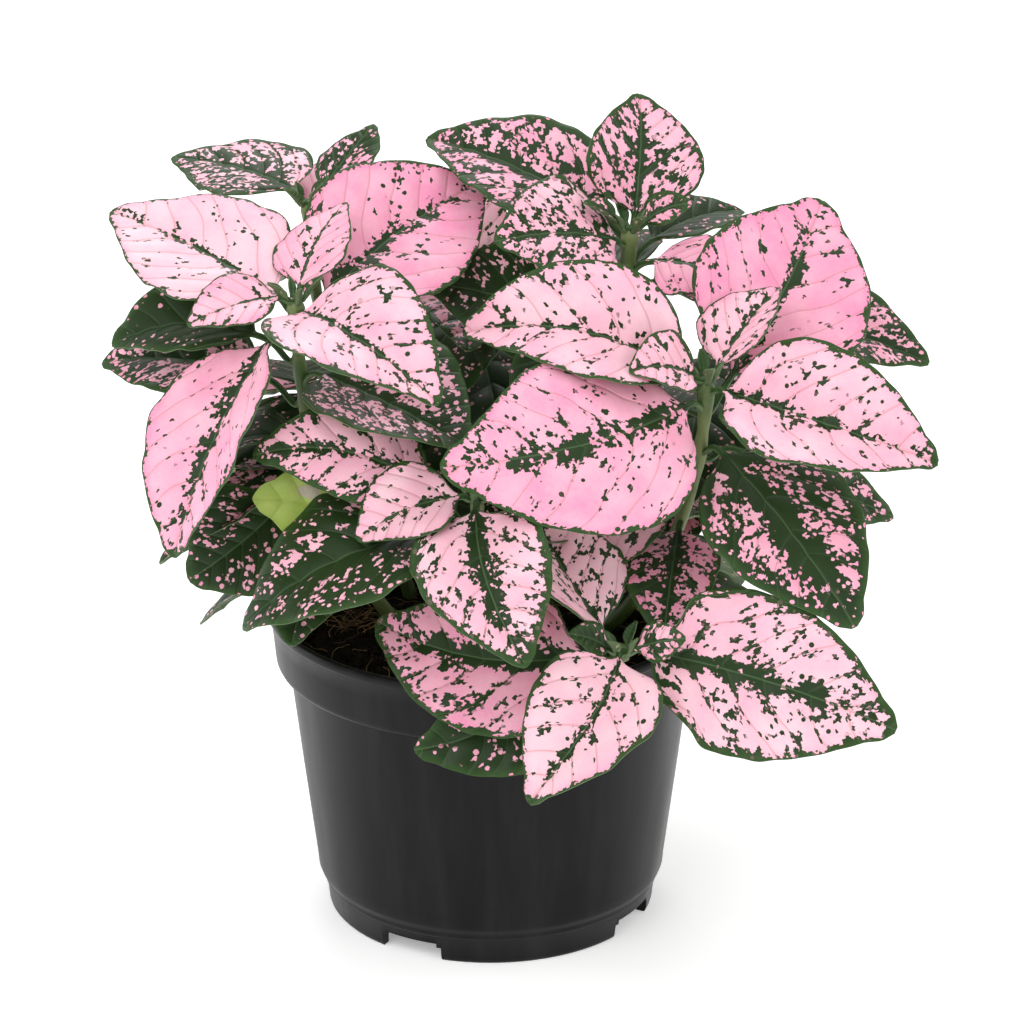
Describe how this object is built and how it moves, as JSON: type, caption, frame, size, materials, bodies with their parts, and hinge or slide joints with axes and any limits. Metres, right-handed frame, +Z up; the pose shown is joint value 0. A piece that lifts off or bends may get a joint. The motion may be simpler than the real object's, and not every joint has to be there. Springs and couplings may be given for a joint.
{
  "type": "potted polka dot plant",
  "caption": "Bushy potted house plant with pink, cream and green spotted leaves on upright shoots, in a round black nursery pot with a banded rim.",
  "frame": {"origin": "on the surface that the pot stands on, under the middle of the whole plant's floor plan; the pot's own axis is 7 mm towards -X", "axes": "+Z up along the pot's axis, -Y towards the side with the lowest hanging leaves, +X to its right"},
  "size_m": [0.2214, 0.2144, 0.2185],
  "materials": {
    "black_plastic": "satin black moulded plastic",
    "growing_medium": "damp dark peat mix with straw-coloured fibres",
    "green_stem": "satin green plant stem",
    "leaf_pale": "satin leaf, pale pink with few green specks and a green edge",
    "leaf_pink": "satin leaf, strong pink with dark green midrib patches",
    "leaf_mottled": "satin leaf, pink and dark green in equal parts",
    "leaf_green": "satin leaf, dark green with pink dots",
    "leaf_old": "satin leaf, plain yellow-green with a brown spot"
  },
  "bodies": {
    "root": {"pot": "black_plastic", "soil": "growing_medium", "stem_left": "green_stem", "stem_back_left": "green_stem", "stem_crown": "green_stem", "stem_right": "green_stem", "stem_low": "green_stem", "stem_front": "green_stem", "stem_back": "green_stem", "stem_back_right": "green_stem", "leaf_left_young_up": "leaf_pale", "leaf_left_young_out": "leaf_pale", "leaf_left_big_out": "leaf_pale", "leaf_left_big_in": "leaf_pale", "leaf_left_back_up": "leaf_pink", "leaf_left_hanging": "leaf_pink", "leaf_left_low_in": "leaf_mottled", "leaf_left_green_out": "leaf_green", "leaf_left_low_out": "leaf_mottled", "leaf_left_inner": "leaf_green", "leaf_back_left_out": "leaf_mottled", "leaf_back_left_up": "leaf_mottled", "leaf_back_left_back": "leaf_pink", "leaf_back_left_low_back": "leaf_pink", "leaf_crown_up": "leaf_mottled", "leaf_crown_back_left": "leaf_mottled", "leaf_crown_front_left": "leaf_mottled", "leaf_crown_young_right": "leaf_mottled", "leaf_crown_back_right": "leaf_green", "leaf_crown_low_right": "leaf_pink", "leaf_crown_low_left": "leaf_green", "leaf_right_young_up": "leaf_pale", "leaf_right_young_left": "leaf_pale", "leaf_right_big_left": "leaf_pale", "leaf_right_big_out": "leaf_pale", "leaf_right_big_up": "leaf_pink", "leaf_right_front": "leaf_pink", "leaf_right_hanging": "leaf_mottled", "leaf_right_behind": "leaf_mottled", "leaf_low_young_left": "leaf_mottled", "leaf_low_young_right": "leaf_mottled", "leaf_low_down": "leaf_pale", "leaf_low_right": "leaf_pale", "leaf_low_up": "leaf_pale", "leaf_low_left": "leaf_pink", "leaf_low_under": "leaf_green", "leaf_front_young_left": "leaf_pale", "leaf_front_down": "leaf_pale", "leaf_front_left_green": "leaf_green", "leaf_front_left_pink": "leaf_pale", "leaf_front_old": "leaf_old", "leaf_back_young_up": "leaf_pale", "leaf_back_big_left": "leaf_pale", "leaf_back_big_right": "leaf_pink", "leaf_back_out": "leaf_pale", "leaf_back_low_left": "leaf_mottled", "leaf_back_low_right": "leaf_green", "leaf_back_right_out": "leaf_mottled", "leaf_back_right_back": "leaf_pale", "leaf_back_right_low": "leaf_pink"}
  },
  "joints": []
}
